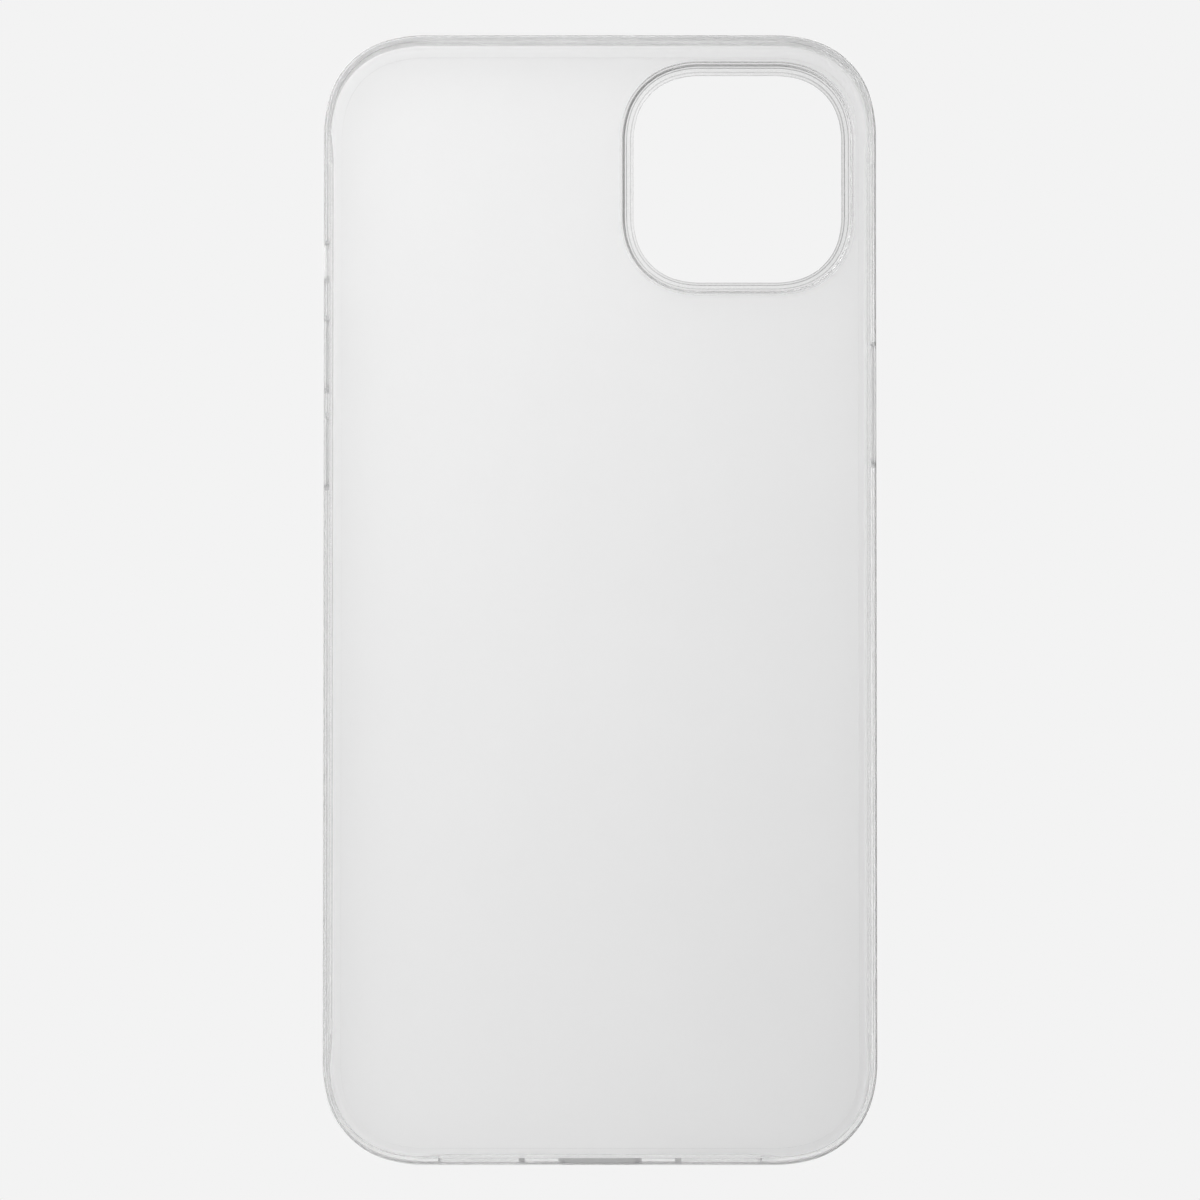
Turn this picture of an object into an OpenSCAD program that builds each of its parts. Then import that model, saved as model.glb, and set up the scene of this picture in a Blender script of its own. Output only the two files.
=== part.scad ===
// Slim frosted case for a phone with a square camera block.
// It lies on its back with the open side up: +X to the phone's right, +Y to the camera end,
// +Z towards the screen. The origin is under the middle of the case, at its lowest point.

/* [Phone that it fits] */
// Width of the phone
phone_w = 77.8; // [72:0.1:84]
// Length of the phone
phone_l = 160.9; // [150:0.1:170]
// Thickness of the phone
phone_t = 7.8; // [7:0.1:9]
// Gap between the phone and the case
fit_gap = 0.05; // [0:0.01:0.15]

/* [Shell] */
// Thickness of the side wall
wall_t = 0.8; // [0.7:0.05:1.2]
// Thickness of the back
back_t = 0.8; // [0.6:0.05:1.2]
// Radius of the rounding between the back and the side wall, on the outside
edge_r = 1.8; // [1.4:0.1:2.2]
// Width of the frame's flat return on the back, beyond that rounding
return_w = 0.6; // [0.4:0.1:0.8]

/* [Front lip] */
// Thickness of the lip
lip_t = 0.45; // [0.3:0.05:0.8]
// Width of the rim on the straight sides, from the outer face to the lip's inner edge
rim_w = 1.37; // [1.1:0.01:2]
// Width of the rim round the corners
corner_rim_w = 0.98; // [0.9:0.01:1.1]
// Distance from an end of the case to where the wide lip starts
lip_start = 13.5; // [12:0.5:20]
// Length over which the wide lip grows to its full width
lip_taper = 4.5; // [2:0.5:8]

/* [Corners] */
// Radius in the middle of each corner
corner_r = 12; // [11:0.5:14]
// Wider radius with which each corner runs into its sides
corner_blend_r = 20; // [15:0.5:30]

/* [Camera opening] */
// Size of the square opening
camera_size = 30.1; // [26:0.1:30.2]
// Centre of the opening from the middle of the case
camera_x = 19.9; // [17:0.1:20]
// Centre of the opening from the top end
camera_from_top = 19.9; // [19.8:0.1:24]
// Radius in the middle of each of its corners
camera_r = 8.2; // [6:0.1:9]
// Wider radius with which each of its corners runs into its sides
camera_blend_r = 12.6; // [10:0.1:16]
// How far the guard stands out from the back
guard_h = 1.2; // [0.8:0.1:2]
// Width of the guard
guard_w = 1.95; // [1.85:0.05:2.05]

/* [Side buttons] */
// Centre of the volume up button from the top end
volume_up_from_top = 46; // [40:0.5:50]
// Centre of the volume down button from the top end
volume_down_from_top = 60; // [56:0.5:66]
// Length of each volume button
volume_len = 10; // [8:0.1:12]
// Centre of the side button on the other side, from the top end
side_button_from_top = 53.2; // [45:0.1:65]
// Length of the side button
side_button_len = 17; // [12:0.1:20]
// Height of all the buttons
button_h = 3.2; // [2.4:0.1:4]
// How far a button moves in
button_travel = 0.25; // [0.1:0.01:0.27]

/* [Openings] */
// Centre of the mute switch opening from the top end
mute_from_top = 32.6; // [28:0.1:36]
// Length of the mute switch opening
mute_len = 6.1; // [5:0.1:8]
// Height of the mute switch opening
mute_h = 3.6; // [2.5:0.1:4]
// Width of the charging port opening
port_w = 12; // [10:0.1:14]
// Height of the charging port opening
port_h = 5.6; // [4:0.1:6]
// Length of each speaker slot
speaker_len = 12.5; // [8:0.5:14]
// Height of each speaker slot
speaker_h = 1.8; // [1.2:0.1:3]
// Centre of each speaker slot from the middle of the case
speaker_x = 17; // [15:0.5:20]

/* [Hidden] */
$fn = 64;

// Heights, from the guard's outer face up to the top of the lip
back_z = guard_h;
bed_z = back_z + back_t;
lip_z = bed_z + phone_t + fit_gap;
top_z = lip_z + lip_t;
button_z = bed_z + phone_t / 2;

// Each corner is a wide arc, a tight arc and a wide arc. The wide arcs turn through the
// sharp angle of a 7, 24, 25 triangle, whose sine and cosine are exact, so that all arcs
// meet exactly.
blend_angle = atan2(7, 24);
blend_cos = 24 / 25;
blend_sin = 7 / 25;

// An outline is [half width, half length, tight radius, wide radius]. The case:
half_w = phone_w / 2 + fit_gap + wall_t;
half_l = phone_l / 2 + fit_gap + wall_t;
case_shape = [half_w, half_l, corner_r, corner_blend_r];

// The camera opening:
camera_y = half_l - camera_from_top;
camera_shape = [camera_size / 2, camera_size / 2, camera_r, camera_blend_r];

// The seam between the back and the frame, from the outer face
seam_w = edge_r + return_w;
bed_r = edge_r - back_t;

// A button: its flange is held behind a thin skin of the wall, and is thin enough to stay
// short of the phone when the button is pressed right in
button_gap = 0.1;
skin_t = 0.3;
flange_w = 0.5;
flange_gap = 0.05;
phone_gap = 0.02;
flange_t = wall_t - skin_t - flange_gap - button_travel - phone_gap;
pocket_gap = 0.15;
button_t = skin_t + flange_gap + flange_t;
pocket_t = 0.13;
pocket_inset = 0.6;
// Extra length of each cutter, so that it passes right through
past = 1;

// Points along an arc, in steps of about 15 degrees
function arc(centre, r, from, to) =
    let (steps = ceil(abs(to - from) / 15))
    [for (i = [0:steps])
        let (a = from + (to - from) * i / steps)
        centre + r * [cos(a), sin(a)]];

// Distance along a side from the sharp corner to where the corner starts to turn
function corner_len(s) = s[3] - (s[3] - s[2]) * (blend_cos - blend_sin);

// A sector of a swept corner, from the X axis round to an angle. The section is given from
// the radius outwards.
module sector(r, angle) {
    rotate_extrude(angle = angle)
        translate([r, 0])
            children();
}

// An eighth of a swept outline: half of the side that faces +X and half of its corner.
// Pieces that follow each other on one arc overlap, and all others meet end to end.
module eighth_sweep(s) {
    straight = s[1] - corner_len(s);
    overlap = 2;
    translate([s[0], straight, 0])
        rotate([90, 0, 0])
            linear_extrude(straight)
                children();
    translate([s[0] - s[3], straight, 0]) {
        sector(s[3], blend_angle / 2 + overlap) children();
        rotate([0, 0, blend_angle]) {
            mirror([0, 1, 0])
                sector(s[3], blend_angle / 2 + overlap) children();
            translate([s[3] - s[2], 0, 0])
                sector(s[2], 45 - blend_angle + overlap) children();
        }
    }
}

// Sweeps a section round a whole outline. Section x is 0 on the outline and negative inside it.
module sweep(s) {
    for (mx = [0, 1], my = [0, 1])
        mirror([mx, 0, 0])
            mirror([0, my, 0]) {
                eighth_sweep(s) children();
                rotate([0, 0, 90])
                    mirror([0, 1, 0])
                        eighth_sweep([s[1], s[0], s[2], s[3]]) children();
            }
}

// A solid plate with a given outline, moved outwards by grow
module plate(s, grow, z0, z1) {
    band = s[2] + grow - past;
    core = s[2] / 2;
    sweep(s)
        translate([grow - band, z0])
            square([band, z1 - z0]);
    translate([-s[0] + core, -s[1] + core, z0])
        cube([2 * (s[0] - core), 2 * (s[1] - core), z1 - z0]);
}

// A bar with round ends, centred on the origin and cut along X
module stadium_x(len, h, depth) {
    straight = len - h;
    translate([-depth / 2, -straight / 2, -h / 2])
        cube([depth, straight, h]);
    for (y = [-straight / 2, straight / 2])
        translate([0, y, 0])
            rotate([0, 90, 0])
                cylinder(h = depth, d = h, center = true);
}

// Puts a part on a side wall: its x becomes the depth inwards from the outer face
module on_side(side, from_top) {
    translate([side * half_w, half_l - from_top, button_z])
        mirror([side > 0 ? 1 : 0, 0, 0])
            children();
}

// A bar with round ends that fills the depths from d0 to d1
module bar(len, h, d0, d1) {
    translate([(d0 + d1) / 2, 0, 0])
        stadium_x(len, h, d1 - d0);
}

// Window in the wall for a button, with the rebate for its flange
module button_window(len) {
    bar(len + 2 * button_gap, button_h + 2 * button_gap, -past, wall_t + past);
    grow = 2 * (flange_w + pocket_gap);
    bar(len + grow, button_h + grow, skin_t, wall_t + past);
}

// A button: cap, flange, and a shallow pocket for the phone's own button
module button(len) {
    difference() {
        union() {
            bar(len, button_h, 0, button_t);
            bar(len + 2 * flange_w, button_h + 2 * flange_w, button_t - flange_t, button_t);
        }
        bar(len - pocket_inset, button_h - pocket_inset, button_t - pocket_t, button_t + past);
    }
}

// Section of the side wall, from its flat return on the back up to the rim
module wall_section() {
    top_r = 0.45;
    rim_r = 0.12;
    polygon(concat(
        [[-seam_w, back_z]],
        arc([-edge_r, back_z + edge_r], edge_r, 270, 360),
        arc([-top_r, top_z - top_r], top_r, 0, 90),
        arc([-corner_rim_w + rim_r, top_z - rim_r], rim_r, 90, 180),
        [[-corner_rim_w, lip_z], [-wall_t, lip_z]],
        arc([-wall_t - bed_r, bed_z + bed_r], bed_r, 360, 270),
        [[-seam_w, bed_z]]));
}

// The wide part of the lip along one straight side, facing +X
module lip_bar(half_side, half_run) {
    root = half_side - corner_rim_w + 0.1;
    inner = half_side - rim_w;
    run = half_run - lip_start;
    translate([0, 0, lip_z])
        linear_extrude(lip_t)
            polygon([[root, -run], [root, run], [half_side - corner_rim_w, run],
                     [inner, run - lip_taper], [inner, lip_taper - run],
                     [half_side - corner_rim_w, -run]]);
}

// Section of the camera guard. x is 0 on the opening and positive outwards. Its inner side
// slopes softly from the bed down to a ledge, with a small step and a deeper one by the opening.
module guard_section() {
    foot_r = 0.3;
    crown_r = 0.4;
    rim_r = 0.25;
    outer_x = guard_w - foot_r;
    soft_r = 0.6;
    soft_angle = 48;
    ledge_x = guard_w - 2 * soft_r * sin(soft_angle);
    ledge_z = bed_z - 2 * soft_r * (1 - cos(soft_angle));
    line_x = 1;
    line_h = 0.2;
    step_x = 0.45;
    step_z = 0.9;
    edge_cut = 0.12;
    polygon(concat(
        arc([rim_r, rim_r], rim_r, 180, 270),
        arc([outer_x - crown_r, crown_r], crown_r, 270, 360),
        arc([guard_w, back_z - foot_r], foot_r, 180, 90),
        arc([guard_w, bed_z - soft_r], soft_r, 90, 90 + soft_angle),
        arc([ledge_x, ledge_z + soft_r], soft_r, 270 + 0.75 * soft_angle, 270),
        [[line_x, ledge_z], [line_x, ledge_z - line_h], [step_x, ledge_z - line_h],
         [step_x, step_z], [edge_cut, step_z], [0, step_z - edge_cut]]));
}

module back_panel() {
    color([0.93, 0.93, 0.93, 0.8])
        difference() {
            plate(case_shape, -seam_w, back_z, bed_z);
            translate([camera_x, camera_y, 0])
                plate(camera_shape, guard_w, back_z - past, bed_z + past);
        }
}

module side_frame() {
    color([0.88, 0.88, 0.88, 0.7])
        difference() {
            union() {
                sweep(case_shape) wall_section();
                for (m = [0, 1]) {
                    mirror([m, 0, 0])
                        lip_bar(half_w, half_l);
                    mirror([0, m, 0])
                        rotate([0, 0, 90])
                            lip_bar(half_l, half_w);
                }
            }
            on_side(-1, volume_up_from_top) button_window(volume_len);
            on_side(-1, volume_down_from_top) button_window(volume_len);
            on_side(1, side_button_from_top) button_window(side_button_len);
            on_side(-1, mute_from_top)
                bar(mute_len, mute_h, -past, wall_t + past);
            translate([0, -half_l, button_z])
                rotate([0, 0, 90]) {
                    bar(port_w, port_h, -past, wall_t + past);
                    for (side = [-1, 1])
                        translate([0, side * speaker_x, 0])
                            bar(speaker_len, speaker_h, -past, wall_t + past);
                }
        }
}

module camera_guard() {
    color([0.8, 0.8, 0.8, 0.8])
        translate([camera_x, camera_y, 0])
            sweep(camera_shape) guard_section();
}

module volume_up_button() {
    color([0.9, 0.9, 0.9])
        on_side(-1, volume_up_from_top) button(volume_len);
}

module volume_down_button() {
    color([0.9, 0.9, 0.9])
        on_side(-1, volume_down_from_top) button(volume_len);
}

module side_button() {
    color([0.9, 0.9, 0.9])
        on_side(1, side_button_from_top) button(side_button_len);
}

back_panel();
side_frame();
camera_guard();
volume_up_button();
volume_down_button();
side_button();
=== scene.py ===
import math

import bmesh
import bpy
from bpy.props import FloatProperty, FloatVectorProperty, PointerProperty
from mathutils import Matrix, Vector


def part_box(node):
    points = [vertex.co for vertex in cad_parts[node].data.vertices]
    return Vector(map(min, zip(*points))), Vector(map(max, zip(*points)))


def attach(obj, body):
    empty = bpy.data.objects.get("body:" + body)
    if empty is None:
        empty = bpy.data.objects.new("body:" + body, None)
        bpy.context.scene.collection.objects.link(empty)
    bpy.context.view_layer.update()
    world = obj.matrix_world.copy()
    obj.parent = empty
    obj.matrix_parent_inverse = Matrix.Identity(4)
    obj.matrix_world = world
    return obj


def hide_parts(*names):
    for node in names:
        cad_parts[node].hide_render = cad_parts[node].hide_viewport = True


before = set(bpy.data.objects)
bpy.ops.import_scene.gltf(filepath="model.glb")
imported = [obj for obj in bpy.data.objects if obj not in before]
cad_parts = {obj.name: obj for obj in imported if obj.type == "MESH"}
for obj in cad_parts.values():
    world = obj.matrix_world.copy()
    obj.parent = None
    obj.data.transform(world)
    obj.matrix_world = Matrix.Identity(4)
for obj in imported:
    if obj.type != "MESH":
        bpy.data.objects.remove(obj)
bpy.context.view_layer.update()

bl_info = {
    "name": "Slim Phone Case",
    "version": (1, 0, 0),
    "blender": (4, 5, 0),
    "location": "View3D > Sidebar > Phone Case",
    "description": "Builds a slim frosted phone case in six pieces, with its finishes and its studio",
    "category": "Object",
}

CASE_LOW, CASE_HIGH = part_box("side_frame")
PANEL_LOW, PANEL_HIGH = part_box("back_panel")
GUARD_LOW, GUARD_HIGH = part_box("camera_guard")

# Places that the frame fixes. The case lies on its back, open side up, with the camera end at +Y.
HALF_WIDTH = CASE_HIGH.x
HALF_LENGTH = CASE_HIGH.y
TOP = CASE_HIGH.z
BACK = PANEL_LOW.z
BED = PANEL_HIGH.z
SEAM = HALF_WIDTH - PANEL_HIGH.x
GUARD_CENTRE = (GUARD_LOW + GUARD_HIGH) / 2
GUARD_HALF = (GUARD_HIGH.x - GUARD_LOW.x) / 2

# Each corner is a wide arc, a tight arc and a wide arc; the wide ones turn through this angle.
BLEND = math.atan2(7, 24)
# Points closer than this are one point.
NEAR = 1e-6
# The back stays this far from the frame and the guard, so that no two faces lie in one place.
JOINT_GAP = 1e-5
# Distance between the places where the front lip changes its width, and the least change.
FADE_STEP = 0.0004
NO_CHANGE = 1e-9
# A part of a normal smaller than this counts as nothing.
LEVEL = 0.01
# Edges sharper than SHARP are softened, and edges flatter than SMOOTH are shaded smooth.
SHARP = math.radians(40)
SMOOTH = math.radians(32)
# A cutter reaches this far past what it cuts.
PAST = 0.001
RIGHT = Vector((1, 0, 0))
FAR_END = Vector((0, 1, 0))
UP = Vector((0, 0, 1))


# ---------------------------------------------------------------- sizes and colours

def length(name, description, default):
    return FloatProperty(name=name, description=description, default=default, min=0,
                         precision=5, subtype="DISTANCE", unit="LENGTH")


def share(name, description, default):
    return FloatProperty(name=name, description=description, default=default, min=0, max=1,
                         subtype="FACTOR")


def strength(name, description, default):
    return FloatProperty(name=name, description=description, default=default, min=0, soft_max=4)


def colour(name, description, default):
    return FloatVectorProperty(name=name, description=description, default=default, size=3,
                               min=0, max=1, subtype="COLOR")


class CaseSizes(bpy.types.PropertyGroup):
    """Sizes of the shell, its openings and its keys"""
    wall: length("Wall", "Thickness of the side wall", 0.0008)
    foot_radius: length("Foot radius", "Rounding between the back and the side wall", 0.0018)
    lip: length("Lip", "Thickness of the front lip", 0.00045)
    rim: length("Rim", "Width of the rim along the straight sides", 0.00137)
    corner_rim: length("Corner rim", "Width of the rim round the corners", 0.00098)
    lip_full: length("Lip full", "Distance from an end at which the lip has its full width", 0.0187)
    lip_gone: length("Lip gone", "Distance from an end at which the wide lip has faded", 0.0125)
    corner_tight: length("Corner radius", "Radius in the middle of each corner", 0.012)
    corner_wide: length("Corner blend radius", "Radius where a corner meets its sides", 0.020)
    guard: length("Guard", "Width of the camera guard", 0.00195)
    hole_tight: length("Camera radius", "Radius in the corners of the camera opening", 0.0082)
    hole_wide: length("Camera blend radius", "Radius where those corners meet the sides", 0.0126)
    key_height: length("Key height", "Height of all three keys", 0.0032)
    key_gap: length("Key gap", "Gap round each key", 0.0001)
    flange: length("Flange", "Width of the flange behind a key", 0.0005)
    flange_room: length("Flange room", "Gap round the flange", 0.00015)
    skin: length("Skin", "Thickness of the wall in front of a flange", 0.0003)
    skin_gap: length("Skin gap", "Gap between that skin and the flange", 0.00005)
    pocket: length("Pocket", "Depth of the pocket inside a key", 0.00013)
    pocket_inset: length("Pocket inset", "Width of the land round that pocket", 0.0003)
    mute_from_end: length("Mute slot place", "Middle of the mute slot from the camera end", 0.0326)
    mute_length: length("Mute slot length", "Length of the mute slot", 0.0061)
    mute_height: length("Mute slot height", "Height of the mute slot", 0.0036)
    port_width: length("Port width", "Width of the charging port opening", 0.012)
    port_height: length("Port height", "Height of the charging port opening", 0.0056)
    speaker_length: length("Speaker slot length", "Length of each speaker slot", 0.0125)
    speaker_height: length("Speaker slot height", "Height of each speaker slot", 0.0018)
    speaker_place: length("Speaker slot place", "Middle of a speaker slot from the port", 0.017)
    softened: length("Softened edge", "Rounding of the edges of the openings", 0.00006)


class CaseFinish(bpy.types.PropertyGroup):
    """Colours, clarity and surface of the plastics"""
    panel_colour: colour("Back colour", "Milky plastic of the back", (0.94, 0.94, 0.94))
    frame_colour: colour("Frame colour", "Clearer plastic of the frame", (0.94, 0.94, 0.94))
    guard_colour: colour("Guard colour", "Plastic of the camera guard", (0.93, 0.93, 0.93))
    key_colour: colour("Key colour", "Plastic of the keys", (0.88, 0.88, 0.88))
    panel_clear: share("Back clarity", "Share of light that the back lets through", 0.9)
    frame_clear: share("Frame clarity", "Share of light that the frame lets through", 0.78)
    guard_clear: share("Guard clarity", "Share of light that the guard lets through", 0.9)
    joint_clear: share("Joint clarity", "Share of light that the joint faces let through", 0.95)
    # Painted shade: a dark, cloudy plastic on the cut faces of the port and speaker slots, standing in
    # for the shade inside those openings
    port_shade_colour: colour("Painted port shade colour", "Plastic on the cut edges at the port end", (0.4, 0.4, 0.4))
    port_shade_clear: share("Painted port shade clarity", "Share of light that those edges let through", 0.3)
    panel_rough: share("Back roughness", "Roughness of the satin back", 0.5)
    frame_rough: share("Frame roughness", "Roughness of the wall and the lip", 0.16)
    guard_rough: share("Guard roughness", "Roughness of the camera guard", 0.13)
    key_rough: share("Key roughness", "Roughness of the keys", 0.34)
    joint_rough: share("Joint roughness", "Roughness of the polished joint faces", 0.02)
    port_shade_rough: share("Painted port shade roughness", "Roughness of the cut edges", 0.3)
    # Painted shade: these two darken the colour of the frame and the guard on steep faces, where bent
    # light makes dark lines
    frame_steep_shade: share("Frame steep shade", "Darkening of the frame where it is steep", 0.12)
    guard_steep_shade: share("Guard steep shade", "Darkening of the guard where it is steep", 0.45)
    grain: length("Grain size", "Size of the mould's frosted grain", 0.00022)
    grain_depth: length("Grain depth", "Depth of that grain", 0.000006)


class CaseStudio(bpy.types.PropertyGroup):
    """Backdrop, light and camera"""
    backdrop: share("Backdrop", "Brightness of the plain backdrop", 0.896)
    floor_width: length("Floor width", "Width of the floor", 8)
    floor_drop: length("Floor drop", "Distance from the case down to the floor", 0.0002)
    key_power: FloatProperty(name="Key lamp", description="Power of the lamp at the camera end",
                             default=1.2, min=0, unit="POWER")
    key_place: FloatVectorProperty(name="Key lamp place", description="Where the key lamp stands",
                                   default=(-0.45, 0.55, 0.75), size=3, subtype="XYZ")
    key_width: length("Key lamp width", "Width of the key lamp's disc", 0.5)
    glow: share("Glow", "Share of light that the floor lets up in its middle", 0.86)
    glow_least: share("Least glow", "Share of light that the floor lets up anywhere", 0.3)
    glow_slope: FloatVectorProperty(name="Glow slope", description="Change of that glow per metre",
                                    default=(-1.8, 0.9, 0), size=3, subtype="XYZ")
    fill_low: strength("Least fill", "Strength of the surrounding light on its dim side", 0.3)
    fill_high: strength("Most fill", "Strength of the surrounding light on its bright side", 1.6)
    fill_from: FloatVectorProperty(name="Fill side", description="Bright side of that light",
                                   default=(-0.8, 0.6, 0), size=3, subtype="DIRECTION")
    camera_tilt: FloatProperty(name="Camera tilt", description="Lean of the camera to the port end",
                               default=math.radians(4), subtype="ANGLE", unit="ROTATION")
    camera_distance: length("Camera distance", "Distance from the camera to the case", 1.85)
    view_width: length("View width", "Width that the picture covers at the case", 0.17292)


# ---------------------------------------------------------------- modelling by hand

def begin(name, at=(0, 0, 0)):
    """Starts a piece as a single point, in edit mode."""
    bpy.ops.object.select_all(action="DESELECT")
    bpy.ops.mesh.primitive_plane_add(size=0.001, location=at)
    piece = bpy.context.object
    piece.name = name
    piece.data.name = name
    bpy.ops.object.mode_set(mode="EDIT")
    bpy.ops.mesh.select_mode(type="VERT")
    bpy.ops.mesh.select_all(action="SELECT")
    bpy.ops.mesh.merge(type="CENTER")
    return piece


def pick(piece, test):
    """Selects the points of a piece whose place passes a test, and no others."""
    bpy.ops.mesh.select_all(action="DESELECT")
    mesh = bmesh.from_edit_mesh(piece.data)
    for point in mesh.verts:
        if test(piece.location + point.co):
            point.select_set(True)
    mesh.select_flush_mode()
    bmesh.update_edit_mesh(piece.data)


def move(step):
    bpy.ops.transform.translate(value=step)


def draw_on(step):
    bpy.ops.mesh.extrude_region_move(TRANSFORM_OT_translate={"value": step})


def turn(middle, axis, angle, steps):
    """Spins what is selected, anticlockwise as seen with the axis towards the eye."""
    bpy.ops.mesh.spin(steps=steps, angle=-angle, center=middle, axis=axis)


def draw_line(piece, corners, closed=True):
    """Draws a line from the piece's single point through the corners, and rounds them.

    A corner is its place, its radius and the number of steps round it. The whole line is
    left selected.
    """
    places = [corner[0] for corner in corners]
    move(places[0] - piece.location)
    for start, end in zip(places, places[1:]):
        draw_on(end - start)
    if closed:
        pick(piece, lambda p: min((p - places[0]).length, (p - places[-1]).length) < NEAR)
        bpy.ops.mesh.edge_face_add()
    for place, radius, steps in corners:
        if radius:
            pick(piece, lambda p: (p - place).length < NEAR)
            bpy.ops.mesh.bevel(offset_type="OFFSET", offset=radius, segments=steps, profile=0.5,
                               affect="VERTICES")
    bpy.ops.mesh.select_all(action="SELECT")


def corner_reach(tight, wide):
    """Distance along a side from the sharp corner to where the corner starts to turn."""
    return wide - (wide - tight) * (math.cos(BLEND) - math.sin(BLEND))


def carry_round(piece, half_width, half_length, tight, wide, stops=(), after=None):
    """Carries the selected line a quarter of the way round an outline about the piece's origin.

    It goes from the middle of the right side, round the corner's three arcs, to the middle
    of the far end. It also stops at the given distances from each end, and after each move
    it calls after with the outline's place and outward direction there.
    """
    def report(place, outward):
        if after:
            after(piece, place, outward)

    reach = corner_reach(tight, wide)
    wide_middle = Vector((half_width - wide, half_length - reach, 0))
    lean = Vector((math.cos(BLEND), math.sin(BLEND), 0))
    tight_middle = wide_middle + lean * (wide - tight)
    far_middle = Vector((half_width - reach, half_length - wide, 0))

    side = sorted({half_length - s for s in stops if reach < s < half_length} | {half_length - reach})
    here = 0
    for y in side:
        draw_on(Vector((0, y - here, 0)))
        here = y
        report(Vector((half_width, y, 0)), RIGHT)

    arcs = ((wide_middle, wide, 0, BLEND, 12),
            (tight_middle, tight, BLEND, math.pi / 2 - BLEND, 24),
            (far_middle, wide, math.pi / 2 - BLEND, math.pi / 2, 12))
    for middle, radius, start, end, steps in arcs:
        for i in range(1, steps + 1):
            angle = start + (end - start) * i / steps
            turn(piece.location + middle, UP, (end - start) / steps, 1)
            outward = Vector((math.cos(angle), math.sin(angle), 0))
            report(middle + outward * radius, outward)

    far = sorted({half_width - s for s in stops if reach < s < half_width} | {0}, reverse=True)
    here = half_width - reach
    for x in far:
        draw_on(Vector((x - here, 0, 0)))
        here = x
        report(Vector((x, half_length, 0)), FAR_END)
    bpy.ops.object.mode_set(mode="OBJECT")


def modify(piece, kind, **settings):
    """Adds a modifier with its settings and applies it."""
    bpy.context.view_layer.objects.active = piece
    bpy.ops.object.modifier_add(type=kind)
    modifier = piece.modifiers[-1]
    for name, value in settings.items():
        setattr(modifier, name, value)
    bpy.ops.object.modifier_apply(modifier=modifier.name)


def mirror_quarters(piece):
    """Makes a whole ring of a quarter."""
    modify(piece, "MIRROR", use_axis=(True, True, False), use_mirror_merge=True,
           merge_threshold=NEAR)


def close_up(piece):
    """Merges doubled points and turns every face outwards."""
    bpy.ops.object.mode_set(mode="EDIT")
    bpy.ops.mesh.select_all(action="SELECT")
    bpy.ops.mesh.remove_doubles(threshold=NEAR)
    bpy.ops.mesh.normals_make_consistent(inside=False)
    bpy.ops.object.mode_set(mode="OBJECT")


def cut_out(piece, cutters):
    """Cuts other shapes out of a piece, and removes them."""
    for cutter in cutters:
        modify(piece, "BOOLEAN", operation="DIFFERENCE", solver="EXACT", object=cutter)
    bpy.ops.object.select_all(action="DESELECT")
    for cutter in cutters:
        cutter.select_set(True)
    bpy.ops.object.delete()


def slab(name, centre, half_width, half_length, tight, wide, low, high):
    """A plate with a rounded outline, between two heights."""
    piece = begin(name, (centre.x, centre.y, 0))
    move(Vector((half_width, 0, low)))
    carry_round(piece, half_width, half_length, tight, wide)
    mirror_quarters(piece)
    bpy.ops.object.mode_set(mode="EDIT")
    bpy.ops.mesh.select_all(action="SELECT")
    bpy.ops.mesh.edge_face_add()
    draw_on(UP * (high - low))
    bpy.ops.object.mode_set(mode="OBJECT")
    close_up(piece)
    return piece


def round_bar(name, face, inward, along, straight, profile):
    """A bar with round ends, let into a wall.

    The profile goes from the bar's middle line out and back to it: each corner is its
    distance from that line, its depth behind the wall's face, its radius and its steps.
    """
    half = along * straight / 2
    piece = begin(name)
    corners = [(face - half + UP * out + inward * deep, radius, steps)
               for out, deep, radius, steps in profile]
    draw_line(piece, corners, closed=False)
    for end in (face + half, face - half):
        draw_on((end - face) * 2)
        turn(end, UP.cross(along), math.pi, 32)
    bpy.ops.object.mode_set(mode="OBJECT")
    close_up(piece)
    return piece


def soften(piece, width, test):
    """Rounds the sharp edges whose two ends both pass a test of their place."""
    bpy.ops.object.mode_set(mode="EDIT")
    bpy.ops.mesh.select_mode(type="EDGE")
    bpy.ops.mesh.select_all(action="DESELECT")
    mesh = bmesh.from_edit_mesh(piece.data)
    for edge in mesh.edges:
        if all(test(v.co) for v in edge.verts) and edge.calc_face_angle(0) > SHARP:
            edge.select_set(True)
    bmesh.update_edit_mesh(piece.data)
    bpy.ops.mesh.bevel(offset=width, segments=3, profile=0.5, affect="EDGES")
    bpy.ops.mesh.select_mode(type="VERT")
    bpy.ops.object.mode_set(mode="OBJECT")


def refinish(piece, material, test):
    """Gives another finish to the faces whose middle and normal pass a test."""
    piece.data.materials.append(material)
    for face in piece.data.polygons:
        if test(face.center, face.normal):
            face.material_index = len(piece.data.materials) - 1


def in_joint(middle, normal):
    """Whether a face of the shell stands upright within the thickness of the back."""
    return abs(normal.z) < LEVEL and BACK < middle.z < BED


def finish_piece(piece, node, body, material):
    """Smooths a piece, puts its place in its mesh, and lets it stand for its node."""
    bpy.ops.object.select_all(action="DESELECT")
    piece.select_set(True)
    bpy.context.view_layer.objects.active = piece
    bpy.ops.object.transform_apply(location=True, rotation=True, scale=True)
    bpy.ops.object.shade_smooth_by_angle(angle=SMOOTH)
    modify(piece, "WEIGHTED_NORMAL", keep_sharp=True, weight=60)
    piece.data.materials.clear()
    piece.data.materials.append(material)
    if any(not f.area for f in piece.data.polygons) or not piece.data.polygons:
        raise RuntimeError(f"{piece.name} has faces with no area")
    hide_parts(node)
    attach(piece, body)


# ---------------------------------------------------------------- finishes

def add_node(tree, kind, x, y, **settings):
    made = tree.nodes.new(kind)
    made.location = (x, y)
    for name, value in settings.items():
        setattr(made, name, value)
    return made


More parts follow.
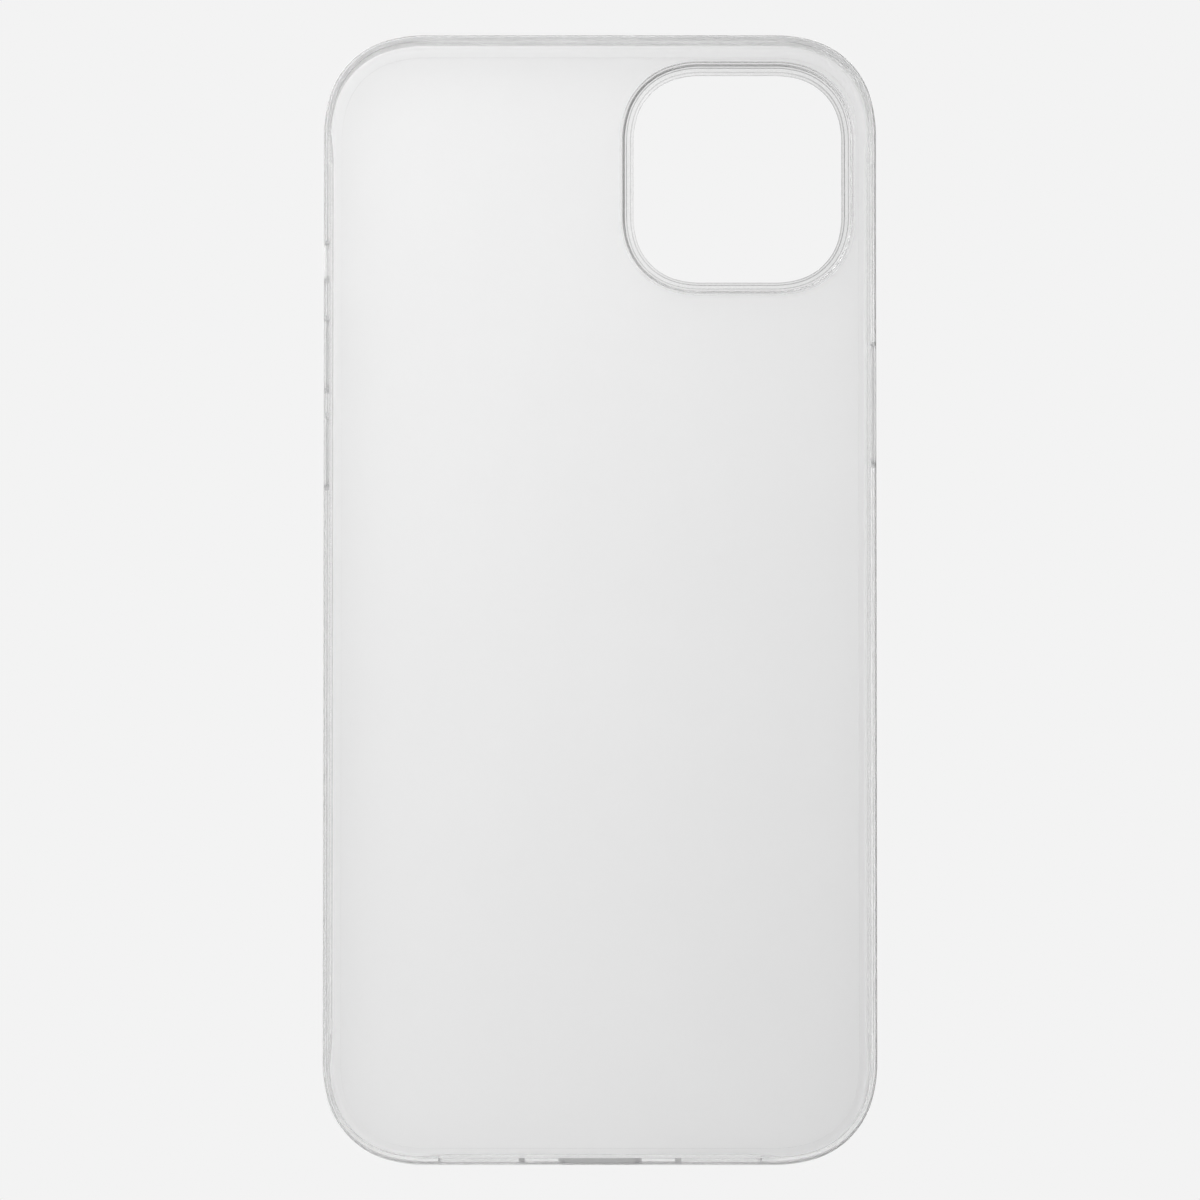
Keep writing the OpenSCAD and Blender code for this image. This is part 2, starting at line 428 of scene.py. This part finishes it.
def mould_grain():
    """Node group for the surface that the mould leaves.

    A fine frosted grain, slow clouding where the plastic flowed, and faint rub marks.
    """
    tree = bpy.data.node_groups.get("Mould Grain")
    if tree:
        return tree
    tree = bpy.data.node_groups.new("Mould Grain", "ShaderNodeTree")
    socket = tree.interface.new_socket
    for name, value in (("Grain Size", 0.0002), ("Clouding", 0.02), ("Roughness", 0.4),
                        ("Unevenness", 0.05), ("Rub Marks", 0.1)):
        socket(name, in_out="INPUT", socket_type="NodeSocketFloat").default_value = value
    socket("Colour", in_out="INPUT", socket_type="NodeSocketColor").default_value = (0.9, 0.9, 0.9, 1)
    socket("Colour", in_out="OUTPUT", socket_type="NodeSocketColor")
    socket("Roughness", in_out="OUTPUT", socket_type="NodeSocketFloat")
    socket("Height", in_out="OUTPUT", socket_type="NodeSocketFloat")
    link = tree.links.new
    given = add_node(tree, "NodeGroupInput", -1200, 0)
    result = add_node(tree, "NodeGroupOutput", 700, 0)
    place = add_node(tree, "ShaderNodeTexCoord", -1200, -400)

    # Grain: one fine noise and one about three times as coarse
    fineness = add_node(tree, "ShaderNodeMath", -1000, -200, operation="DIVIDE")
    fineness.inputs[0].default_value = 1
    link(given.outputs["Grain Size"], fineness.inputs[1])
    coarseness = add_node(tree, "ShaderNodeMath", -1000, -380, operation="MULTIPLY")
    coarseness.inputs[1].default_value = 0.3
    link(fineness.outputs[0], coarseness.inputs[0])
    fine = add_node(tree, "ShaderNodeTexNoise", -800, -200)
    coarse = add_node(tree, "ShaderNodeTexNoise", -800, -420)
    for noise, scale in ((fine, fineness), (coarse, coarseness)):
        noise.inputs["Detail"].default_value = 1.5
        link(place.outputs["Object"], noise.inputs["Vector"])
        link(scale.outputs[0], noise.inputs["Scale"])
    grain = add_node(tree, "ShaderNodeMix", -560, -300, data_type="FLOAT")
    grain.inputs["Factor"].default_value = 0.35
    link(fine.outputs["Fac"], grain.inputs["A"])
    link(coarse.outputs["Fac"], grain.inputs["B"])
    link(grain.outputs["Result"], result.inputs["Height"])

    # Clouding of the colour, in patches of about 3 cm
    cloud = add_node(tree, "ShaderNodeTexNoise", -800, 260)
    cloud.inputs["Scale"].default_value = 34
    cloud.inputs["Detail"].default_value = 3
    link(place.outputs["Object"], cloud.inputs["Vector"])
    swing = add_node(tree, "ShaderNodeMath", -560, 260, operation="SUBTRACT")
    swing.inputs[1].default_value = 0.5
    link(cloud.outputs["Fac"], swing.inputs[0])
    clouding = add_node(tree, "ShaderNodeMath", -380, 260, operation="MULTIPLY_ADD")
    clouding.inputs[2].default_value = 1
    link(swing.outputs[0], clouding.inputs[0])
    link(given.outputs["Clouding"], clouding.inputs[1])
    tint = add_node(tree, "ShaderNodeVectorMath", -180, 260, operation="SCALE")
    link(given.outputs["Colour"], tint.inputs[0])
    link(clouding.outputs[0], tint.inputs["Scale"])
    link(tint.outputs[0], result.inputs["Colour"])

    # Rub marks: thin streaks that leave the surface a little smoother
    stretch = add_node(tree, "ShaderNodeMapping", -1000, -700)
    stretch.inputs["Rotation"].default_value = (0, 0, math.radians(24))
    stretch.inputs["Scale"].default_value = (90, 1400, 400)
    link(place.outputs["Object"], stretch.inputs["Vector"])
    streak = add_node(tree, "ShaderNodeTexNoise", -800, -700)
    streak.inputs["Scale"].default_value = 1
    streak.inputs["Detail"].default_value = 4
    link(stretch.outputs[0], streak.inputs["Vector"])
    thin = add_node(tree, "ShaderNodeMapRange", -560, -700)
    thin.inputs["From Min"].default_value = 0.62
    thin.inputs["From Max"].default_value = 0.74
    link(streak.outputs["Fac"], thin.inputs["Value"])
    rubbed = add_node(tree, "ShaderNodeMath", -380, -700, operation="MULTIPLY")
    link(thin.outputs[0], rubbed.inputs[0])
    link(given.outputs["Rub Marks"], rubbed.inputs[1])

    uneven = add_node(tree, "ShaderNodeMath", -180, -60, operation="MULTIPLY_ADD")
    link(swing.outputs[0], uneven.inputs[0])
    link(given.outputs["Unevenness"], uneven.inputs[1])
    link(given.outputs["Roughness"], uneven.inputs[2])
    polished = add_node(tree, "ShaderNodeMath", 60, -160, operation="SUBTRACT", use_clamp=True)
    link(uneven.outputs[0], polished.inputs[0])
    link(rubbed.outputs[0], polished.inputs[1])
    link(polished.outputs[0], result.inputs["Roughness"])
    return tree


def painted_steep_shade():
    """Node group that paints shade into a colour where the surface is steep, standing in for the dark
    lines that bent light makes at the steep faces of clear plastic.
    """
    tree = bpy.data.node_groups.get("Painted Steep Shade")
    if tree:
        return tree
    tree = bpy.data.node_groups.new("Painted Steep Shade", "ShaderNodeTree")
    socket = tree.interface.new_socket
    socket("Colour", in_out="INPUT", socket_type="NodeSocketColor").default_value = (0.9, 0.9, 0.9, 1)
    socket("Depth", in_out="INPUT", socket_type="NodeSocketFloat").default_value = 0.3
    socket("Colour", in_out="OUTPUT", socket_type="NodeSocketColor")
    link = tree.links.new
    given = add_node(tree, "NodeGroupInput", -1000, 0)
    result = add_node(tree, "NodeGroupOutput", 400, 0)
    place = add_node(tree, "ShaderNodeTexCoord", -1000, -200)
    parts = add_node(tree, "ShaderNodeSeparateXYZ", -800, -200)
    flat = add_node(tree, "ShaderNodeMath", -600, -200, operation="ABSOLUTE")
    # Painted shade: faces steeper than a near-level slope lose up to the Depth share of their colour
    steep = add_node(tree, "ShaderNodeMapRange", -400, -200, interpolation_type="SMOOTHSTEP")
    steep.inputs["From Min"].default_value = 0.96
    steep.inputs["From Max"].default_value = 0.55
    loss = add_node(tree, "ShaderNodeMath", -200, -200, operation="MULTIPLY")
    kept = add_node(tree, "ShaderNodeMath", 0, -200, operation="SUBTRACT")
    kept.inputs[0].default_value = 1
    tint = add_node(tree, "ShaderNodeVectorMath", 200, 0, operation="SCALE")
    link(place.outputs["Normal"], parts.inputs[0])
    link(parts.outputs["Z"], flat.inputs[0])
    link(flat.outputs[0], steep.inputs["Value"])
    link(steep.outputs["Result"], loss.inputs[0])
    link(given.outputs["Depth"], loss.inputs[1])
    link(loss.outputs[0], kept.inputs[1])
    link(given.outputs["Colour"], tint.inputs[0])
    link(kept.outputs[0], tint.inputs["Scale"])
    link(tint.outputs[0], result.inputs["Colour"])
    return tree


def plastic(name, finish, tint, clear, roughness, grain=1.0, depth=0.0, clouding=0.012,
            rub=0.015):
    """A translucent moulded plastic. Grain is the share of the full depth of the mould's grain, and
    depth is the share of its colour taken away as painted shade on steep faces.
    """
    material = bpy.data.materials.new(name)
    material.use_nodes = True
    tree = material.node_tree
    tree.nodes.clear()
    output = add_node(tree, "ShaderNodeOutputMaterial", 600, 0)
    shader = add_node(tree, "ShaderNodeBsdfPrincipled", 300, 0)
    shader.inputs["Metallic"].default_value = 0
    shader.inputs["IOR"].default_value = 1.46
    shader.inputs["Transmission Weight"].default_value = clear
    surface = add_node(tree, "ShaderNodeGroup", -200, 0, node_tree=mould_grain())
    surface.inputs["Grain Size"].default_value = finish.grain
    surface.inputs["Clouding"].default_value = clouding
    surface.inputs["Roughness"].default_value = roughness
    surface.inputs["Unevenness"].default_value = 0.08
    surface.inputs["Rub Marks"].default_value = rub
    surface.inputs["Colour"].default_value = (*tint, 1)
    # Painted shade: this node darkens the colour on steep faces by the depth share
    edge = add_node(tree, "ShaderNodeGroup", 60, 160, node_tree=painted_steep_shade())
    edge.inputs["Depth"].default_value = depth
    bump = add_node(tree, "ShaderNodeBump", 60, -260)
    bump.inputs["Strength"].default_value = 0.6
    bump.inputs["Distance"].default_value = finish.grain_depth * grain
    link = tree.links.new
    link(surface.outputs["Height"], bump.inputs["Height"])
    link(surface.outputs["Colour"], edge.inputs["Colour"])
    link(edge.outputs["Colour"], shader.inputs["Base Color"])
    link(surface.outputs["Roughness"], shader.inputs["Roughness"])
    link(bump.outputs["Normal"], shader.inputs["Normal"])
    link(shader.outputs["BSDF"], output.inputs["Surface"])
    return material


def milky_plastic(finish):
    """The satin plastic of the back and of the foot of the frame."""
    return (bpy.data.materials.get("Milky Satin Plastic")
            or plastic("Milky Satin Plastic", finish, finish.panel_colour, finish.panel_clear,
                       finish.panel_rough))


def joint_plastic(finish):
    """The polished plastic inside a joint between two pieces of the shell."""
    return (bpy.data.materials.get("Joint Plastic")
            or plastic("Joint Plastic", finish, finish.panel_colour, finish.joint_clear,
                       finish.joint_rough, grain=0.02, clouding=0.005))


# ---------------------------------------------------------------- pieces

class PHONE_CASE_OT_back_panel(bpy.types.Operator):
    """Build the flat milky back with its hole for the camera guard"""
    bl_idname = "phone_case.back_panel"
    bl_label = "Back Panel"

    def execute(self, context):
        sizes, finish = context.scene.case_sizes, context.scene.case_finish
        middle = Vector((0, 0, 0))
        inset, around = SEAM + JOINT_GAP, sizes.guard + JOINT_GAP
        panel = slab("satin_back_panel", middle, HALF_WIDTH - inset, HALF_LENGTH - inset,
                     sizes.corner_tight - inset, sizes.corner_wide - inset, BACK, BED)
        hole_half = GUARD_HALF + JOINT_GAP
        hole = slab("camera_hole", GUARD_CENTRE, hole_half, hole_half,
                    sizes.hole_tight + around, sizes.hole_wide + around, BACK - PAST, BED + PAST)
        cut_out(panel, [hole])
        finish_piece(panel, "back_panel", "shell", milky_plastic(finish))
        refinish(panel, joint_plastic(finish), in_joint)
        return {"FINISHED"}


class PHONE_CASE_OT_side_frame(bpy.types.Operator):
    """Build the frame all round, with its lip, key windows, slots and port"""
    bl_idname = "phone_case.side_frame"
    bl_label = "Side Frame"

    def fade(self, sizes):
        """Gives the step that narrows the lip towards the corners and widens it after them."""
        def share_at(place):
            from_end = max(min(HALF_LENGTH - place.y, 1), HALF_WIDTH - place.x)
            t = (from_end - sizes.lip_gone) / (sizes.lip_full - sizes.lip_gone)
            t = min(max(t, 0), 1)
            return t * t * (3 - 2 * t)

        spare = sizes.rim - sizes.corner_rim
        shown = {"width": spare}

        def narrow(piece, place, outward):
            change = shown["width"] - spare * share_at(place)
            shown["width"] -= change
            if abs(change) < NO_CHANGE:
                return
            mesh = bmesh.from_edit_mesh(piece.data)
            section = [v.index for v in mesh.verts if v.select]
            # Only the rounded inner edge of the lip moves
            inner = -sizes.corner_rim + 0.00013
            for v in mesh.verts:
                if v.select and (v.co.z < TOP - sizes.lip - NEAR
                                 or (v.co - place).dot(outward) > inner):
                    v.select_set(False)
            mesh.select_flush_mode()
            bmesh.update_edit_mesh(piece.data)
            move(outward * change)
            mesh = bmesh.from_edit_mesh(piece.data)
            mesh.verts.ensure_lookup_table()
            for i in section:
                mesh.verts[i].select_set(True)
            mesh.select_flush_mode()
            bmesh.update_edit_mesh(piece.data)

        return narrow

    def cutters(self, sizes):
        """Shapes that stand in every window, slot and port."""
        through = sizes.wall + PAST
        made = []
        for node, side in (("volume_up_button", -1), ("volume_down_button", -1),
                           ("side_button", 1)):
            low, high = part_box(node)
            face = Vector((side * HALF_WIDTH, (low.y + high.y) / 2, (low.z + high.z) / 2))
            straight = high.y - low.y - 2 * sizes.flange - sizes.key_height
            window = sizes.key_height / 2 + sizes.key_gap
            rebate = sizes.key_height / 2 + sizes.flange + sizes.flange_room
            made.append(round_bar("window", face, RIGHT * -side, FAR_END, straight, (
                (0, -PAST, 0, 0), (window, -PAST, 0, 0), (window, sizes.skin, 0, 0),
                (rebate, sizes.skin, 0, 0), (rebate, through, 0, 0), (0, through, 0, 0))))
        low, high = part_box("side_button")
        middle = (low.z + high.z) / 2
        slots = [(Vector((-HALF_WIDTH, HALF_LENGTH - sizes.mute_from_end, middle)), RIGHT,
                  FAR_END, sizes.mute_length, sizes.mute_height),
                 (Vector((0, -HALF_LENGTH, middle)), FAR_END, RIGHT,
                  sizes.port_width, sizes.port_height)]
        for side in (-1, 1):
            slots.append((Vector((side * sizes.speaker_place, -HALF_LENGTH, middle)), FAR_END,
                          RIGHT, sizes.speaker_length, sizes.speaker_height))
        for face, inward, along, long, high in slots:
            made.append(round_bar("slot", face, inward, along, long - high, (
                (0, -PAST, 0, 0), (high / 2, -PAST, 0, 0), (high / 2, through, 0, 0),
                (0, through, 0, 0))))
        return made

    def execute(self, context):
        sizes, finish = context.scene.case_sizes, context.scene.case_finish
        lip_under = TOP - sizes.lip
        # Each corner: depth behind the outside, height, radius, steps round it
        section = ((SEAM, BACK, 0, 0), (0, BACK, sizes.foot_radius, 14), (0, TOP, sizes.lip, 7),
                   (sizes.rim, TOP, 0.00014, 4), (sizes.rim, lip_under, 0.00008, 3),
                   (sizes.wall, lip_under, 0, 0),
                   (sizes.wall, BED, sizes.foot_radius - (BED - BACK), 9), (SEAM, BED, 0, 0))
        piece = begin("clear_side_frame")
        draw_line(piece, [(Vector((HALF_WIDTH - deep, 0, z)), radius, steps)
                          for deep, z, radius, steps in section])
        fade_steps = math.ceil((sizes.lip_full - sizes.corner_tight) / FADE_STEP)
        stops = [sizes.corner_tight + FADE_STEP * i for i in range(fade_steps + 1)]
        carry_round(piece, HALF_WIDTH, HALF_LENGTH, sizes.corner_tight, sizes.corner_wide,
                    stops=stops, after=self.fade(sizes))
        mirror_quarters(piece)
        close_up(piece)
        cut_out(piece, self.cutters(sizes))

        def on_outside(place):
            on_side = abs(abs(place.x) - HALF_WIDTH) < NEAR
            on_end = abs(place.y + HALF_LENGTH) < NEAR
            return (on_side or on_end) and BED + 0.0001 < place.z < lip_under

        soften(piece, sizes.softened, on_outside)
        # The frame's colour carries painted shade on its steep faces
        material = plastic("Clear Satin Plastic", finish, finish.frame_colour, finish.frame_clear,
                           finish.frame_rough, grain=0.15, depth=finish.frame_steep_shade, rub=0)
        finish_piece(piece, "side_frame", "shell", material)
        refinish(piece, milky_plastic(finish),
                 lambda middle, normal: middle.z < BACK + sizes.foot_radius
                 and abs(normal.z) > 0.05)
        refinish(piece, joint_plastic(finish), in_joint)
        # Painted shade: the cut faces inside the port and speaker slots get a dark plastic in place of
        # the shade that falls there
        edge = plastic("Painted Port Shade Plastic", finish, finish.port_shade_colour, finish.port_shade_clear,
                       finish.port_shade_rough)
        inner = HALF_LENGTH - sizes.wall - NEAR
        refinish(piece, edge, lambda middle, normal: abs(normal.y) < LEVEL
                 and BED < middle.z < lip_under and inner < -middle.y < HALF_LENGTH - NEAR
                 and abs(middle.x) < HALF_WIDTH - sizes.corner_wide)
        return {"FINISHED"}


class PHONE_CASE_OT_camera_guard(bpy.types.Operator):
    """Build the raised ring round the camera opening"""
    bl_idname = "phone_case.camera_guard"
    bl_label = "Camera Guard"

    def execute(self, context):
        sizes, finish = context.scene.case_sizes, context.scene.case_finish
        hole = GUARD_HALF - sizes.guard
        # Distances out from the hole, from the foot in to the step by the hole
        foot = sizes.guard - 0.0003
        slope_top, slope_end = sizes.guard - 0.0001, sizes.guard - 0.00074
        line_top, line_end = 0.00106, 0.00095
        step_top, step_end = 0.0005, 0.00036
        # Heights of the ledge, the floor beyond the thin line, and the step
        ledge = BED - 0.0005
        floor = ledge - 0.00025
        step = 0.0008
        # Each corner: distance out, height, radius, steps round it
        section = ((0, 0, 0.00025, 5), (foot, 0, 0.0004, 7), (foot, BACK, 0.0003, 6),
                   (sizes.guard, BACK, 0, 0), (sizes.guard, BED, 0, 0),
                   (slope_top, BED, 0.00009, 5), (slope_end, ledge, 0.0001, 5),
                   (line_top, ledge, 0.00003, 2), (line_end, floor, 0.00003, 2),
                   (step_top, floor, 0.00004, 2), (step_end, step, 0.00004, 2),
                   (0, step, 0.0003, 6))
        piece = begin("camera_guard_ring", (GUARD_CENTRE.x, GUARD_CENTRE.y, 0))
        draw_line(piece, [(piece.location + Vector((hole + out, 0, z)), radius, steps)
                          for out, z, radius, steps in section])
        carry_round(piece, hole, hole, sizes.hole_tight, sizes.hole_wide)
        mirror_quarters(piece)
        close_up(piece)
        # The guard's colour carries painted shade on its steep slopes and steps
        material = plastic("Guard Plastic", finish, finish.guard_colour, finish.guard_clear,
                           finish.guard_rough, grain=0.05, depth=finish.guard_steep_shade, rub=0)
        finish_piece(piece, "camera_guard", "shell", material)
        refinish(piece, joint_plastic(finish), lambda middle, normal: in_joint(middle, normal)
                 and (middle - GUARD_CENTRE).dot(normal) > 0)
        return {"FINISHED"}


class PHONE_CASE_OT_keys(bpy.types.Operator):
    """Build the two volume keys and the side key"""
    bl_idname = "phone_case.keys"
    bl_label = "Keys"

    def execute(self, context):
        sizes, finish = context.scene.case_sizes, context.scene.case_finish
        material = plastic("Key Plastic", finish, finish.key_colour, finish.frame_clear,
                           finish.key_rough, grain=0.7)
        for name, node, body, side in (
                ("volume_up_key", "volume_up_button", "volume_up", -1),
                ("volume_down_key", "volume_down_button", "volume_down", -1),
                ("side_key", "side_button", "side_key", 1)):
            low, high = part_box(node)
            deep = high.x - low.x
            cap = sizes.key_height / 2
            flange = cap + sizes.flange
            flange_front = sizes.skin + sizes.skin_gap
            pocket = cap - sizes.pocket_inset
            floor = deep - sizes.pocket
            face = Vector((side * HALF_WIDTH, (low.y + high.y) / 2, (low.z + high.z) / 2))
            straight = high.y - low.y - 2 * flange
            key = round_bar(name, face, RIGHT * -side, FAR_END, straight, (
                (0, 0, 0, 0), (cap, 0, 0.0001, 4), (cap, flange_front, 0, 0),
                (flange, flange_front, 0.00004, 2), (flange, deep, 0.00004, 2),
                (pocket, deep, 0, 0), (pocket, floor, 0, 0), (0, floor, 0, 0)))
            finish_piece(key, node, body, material)
        return {"FINISHED"}


# ---------------------------------------------------------------- studio

class PHONE_CASE_OT_studio(bpy.types.Operator):
    """Set up the plain backdrop, the soft light and the camera"""
    bl_idname = "phone_case.studio"
    bl_label = "Studio"

    def backdrop(self, studio):
        """A plain floor that lets the light beneath it up through the case.

        It lets through more towards the left and the camera end, and it can't be seen from
        below.
        """
        bpy.ops.object.select_all(action="DESELECT")
        bpy.ops.mesh.primitive_plane_add(size=studio.floor_width,
                                         location=(0, 0, -studio.floor_drop))
        floor = bpy.context.object
        floor.name = "studio_floor"
        bpy.ops.object.transform_apply(location=True, rotation=True, scale=True)
        material = bpy.data.materials.new("Studio Floor")
        material.use_nodes = True
        tree = material.node_tree
        tree.nodes.clear()
        output = add_node(tree, "ShaderNodeOutputMaterial", 600, 0)
        link = tree.links.new
        plain = add_node(tree, "ShaderNodeEmission", 0, 100)
        plain.inputs["Strength"].default_value = studio.backdrop
        place = add_node(tree, "ShaderNodeTexCoord", -800, -100)
        slope = add_node(tree, "ShaderNodeVectorMath", -600, -100, operation="DOT_PRODUCT")
        slope.inputs[1].default_value = studio.glow_slope
        level = add_node(tree, "ShaderNodeMath", -400, -100, operation="ADD")
        level.inputs[1].default_value = studio.glow
        held = add_node(tree, "ShaderNodeClamp", -200, -100)
        held.inputs["Min"].default_value = studio.glow_least
        held.inputs["Max"].default_value = 1
        under = add_node(tree, "ShaderNodeBsdfTransparent", 0, -60)
        gone = add_node(tree, "ShaderNodeBsdfTransparent", 0, -220)
        side = add_node(tree, "ShaderNodeNewGeometry", 200, 320)
        ray = add_node(tree, "ShaderNodeLightPath", 0, 460)
        lit = add_node(tree, "ShaderNodeMixShader", 200, 0)
        either = add_node(tree, "ShaderNodeMixShader", 400, 0)
        link(place.outputs["Object"], slope.inputs[0])
        link(slope.outputs["Value"], level.inputs[0])
        link(level.outputs[0], held.inputs["Value"])
        link(held.outputs[0], under.inputs["Color"])
        link(ray.outputs["Is Camera Ray"], lit.inputs["Fac"])
        link(under.outputs[0], lit.inputs[1])
        link(plain.outputs[0], lit.inputs[2])
        link(side.outputs["Backfacing"], either.inputs["Fac"])
        link(lit.outputs[0], either.inputs[1])
        link(gone.outputs[0], either.inputs[2])
        link(either.outputs[0], output.inputs["Surface"])
        floor.data.materials.append(material)

    def surroundings(self, studio):
        """Soft light that is stronger from one side, behind a plain backdrop."""
        world = bpy.data.worlds.new("Studio")
        world.use_nodes = True
        tree = world.node_tree
        tree.nodes.clear()
        output = add_node(tree, "ShaderNodeOutputWorld", 400, 0)
        link = tree.links.new
        place = add_node(tree, "ShaderNodeTexCoord", -800, 0)
        towards = add_node(tree, "ShaderNodeVectorMath", -600, 0, operation="DOT_PRODUCT")
        towards.inputs[1].default_value = studio.fill_from
        level = add_node(tree, "ShaderNodeMapRange", -400, 0)
        level.inputs["From Min"].default_value = -1
        level.inputs["From Max"].default_value = 1
        level.inputs["To Min"].default_value = studio.fill_low
        level.inputs["To Max"].default_value = studio.fill_high
        even = add_node(tree, "ShaderNodeBackground", 0, 0)
        link(place.outputs["Generated"], towards.inputs[0])
        link(towards.outputs["Value"], level.inputs["Value"])
        link(level.outputs["Result"], even.inputs["Strength"])
        seen = add_node(tree, "ShaderNodeBackground", 0, -160)
        seen.inputs["Strength"].default_value = studio.backdrop
        for light in (even, seen):
            light.inputs["Color"].default_value = (1, 1, 1, 1)
        ray = add_node(tree, "ShaderNodeLightPath", 0, 300)
        either = add_node(tree, "ShaderNodeMixShader", 200, 0)
        link(ray.outputs["Is Camera Ray"], either.inputs["Fac"])
        link(even.outputs[0], either.inputs[1])
        link(seen.outputs[0], either.inputs[2])
        link(either.outputs[0], output.inputs["Surface"])
        bpy.context.scene.world = world

    def lamp(self, studio):
        """A soft lamp that points at the middle of the case."""
        place = Vector(studio.key_place)
        bpy.ops.object.light_add(type="AREA", location=place)
        lamp = bpy.context.object
        lamp.name = "key_lamp"
        lamp.rotation_euler = (-place).to_track_quat("-Z", "Y").to_euler()
        lamp.data.shape = "DISK"
        lamp.data.size = studio.key_width
        lamp.data.energy = studio.key_power

    def camera(self, studio):
        """A long lens nearly straight above, leaning a little towards the port end."""
        away = Vector((0, -math.sin(studio.camera_tilt), math.cos(studio.camera_tilt)))
        target = Vector((0, 0, TOP / 2))
        bpy.ops.object.camera_add(location=target + away * studio.camera_distance)
        camera = bpy.context.object
        camera.name = "studio_camera"
        camera.rotation_euler = (-away).to_track_quat("-Z", "Y").to_euler()
        camera.data.sensor_width = 36
        camera.data.lens = camera.data.sensor_width * studio.camera_distance / studio.view_width
        camera.data.clip_start = 0.05
        camera.data.clip_end = 20
        bpy.context.scene.camera = camera

    def execute(self, context):
        studio = context.scene.case_studio
        self.backdrop(studio)
        self.surroundings(studio)
        self.lamp(studio)
        self.camera(studio)
        context.scene.view_settings.view_transform = "Standard"
        return {"FINISHED"}


class PHONE_CASE_PT_build(bpy.types.Panel):
    """Lists the sizes, the finishes and the build steps"""
    bl_label = "Phone Case"
    bl_idname = "PHONE_CASE_PT_build"
    bl_space_type = "VIEW_3D"
    bl_region_type = "UI"
    bl_category = "Phone Case"

    def draw(self, context):
        layout = self.layout
        for operator in OPERATORS:
            layout.operator(operator.bl_idname)
        for group in (context.scene.case_sizes, context.scene.case_finish,
                      context.scene.case_studio):
            column = layout.column()
            for name in group.__annotations__:
                column.prop(group, name)


OPERATORS = (PHONE_CASE_OT_back_panel, PHONE_CASE_OT_side_frame, PHONE_CASE_OT_camera_guard,
             PHONE_CASE_OT_keys, PHONE_CASE_OT_studio)
CLASSES = (CaseSizes, CaseFinish, CaseStudio, *OPERATORS, PHONE_CASE_PT_build)


def register():
    for made in CLASSES:
        bpy.utils.register_class(made)
    bpy.types.Scene.case_sizes = PointerProperty(type=CaseSizes)
    bpy.types.Scene.case_finish = PointerProperty(type=CaseFinish)
    bpy.types.Scene.case_studio = PointerProperty(type=CaseStudio)


def unregister():
    del bpy.types.Scene.case_studio
    del bpy.types.Scene.case_finish
    del bpy.types.Scene.case_sizes
    for made in reversed(CLASSES):
        bpy.utils.unregister_class(made)


def main():
    register()
    bpy.ops.phone_case.back_panel()
    bpy.ops.phone_case.side_frame()
    bpy.ops.phone_case.camera_guard()
    bpy.ops.phone_case.keys()
    bpy.ops.phone_case.studio()


if __name__ == "__main__":
    main()
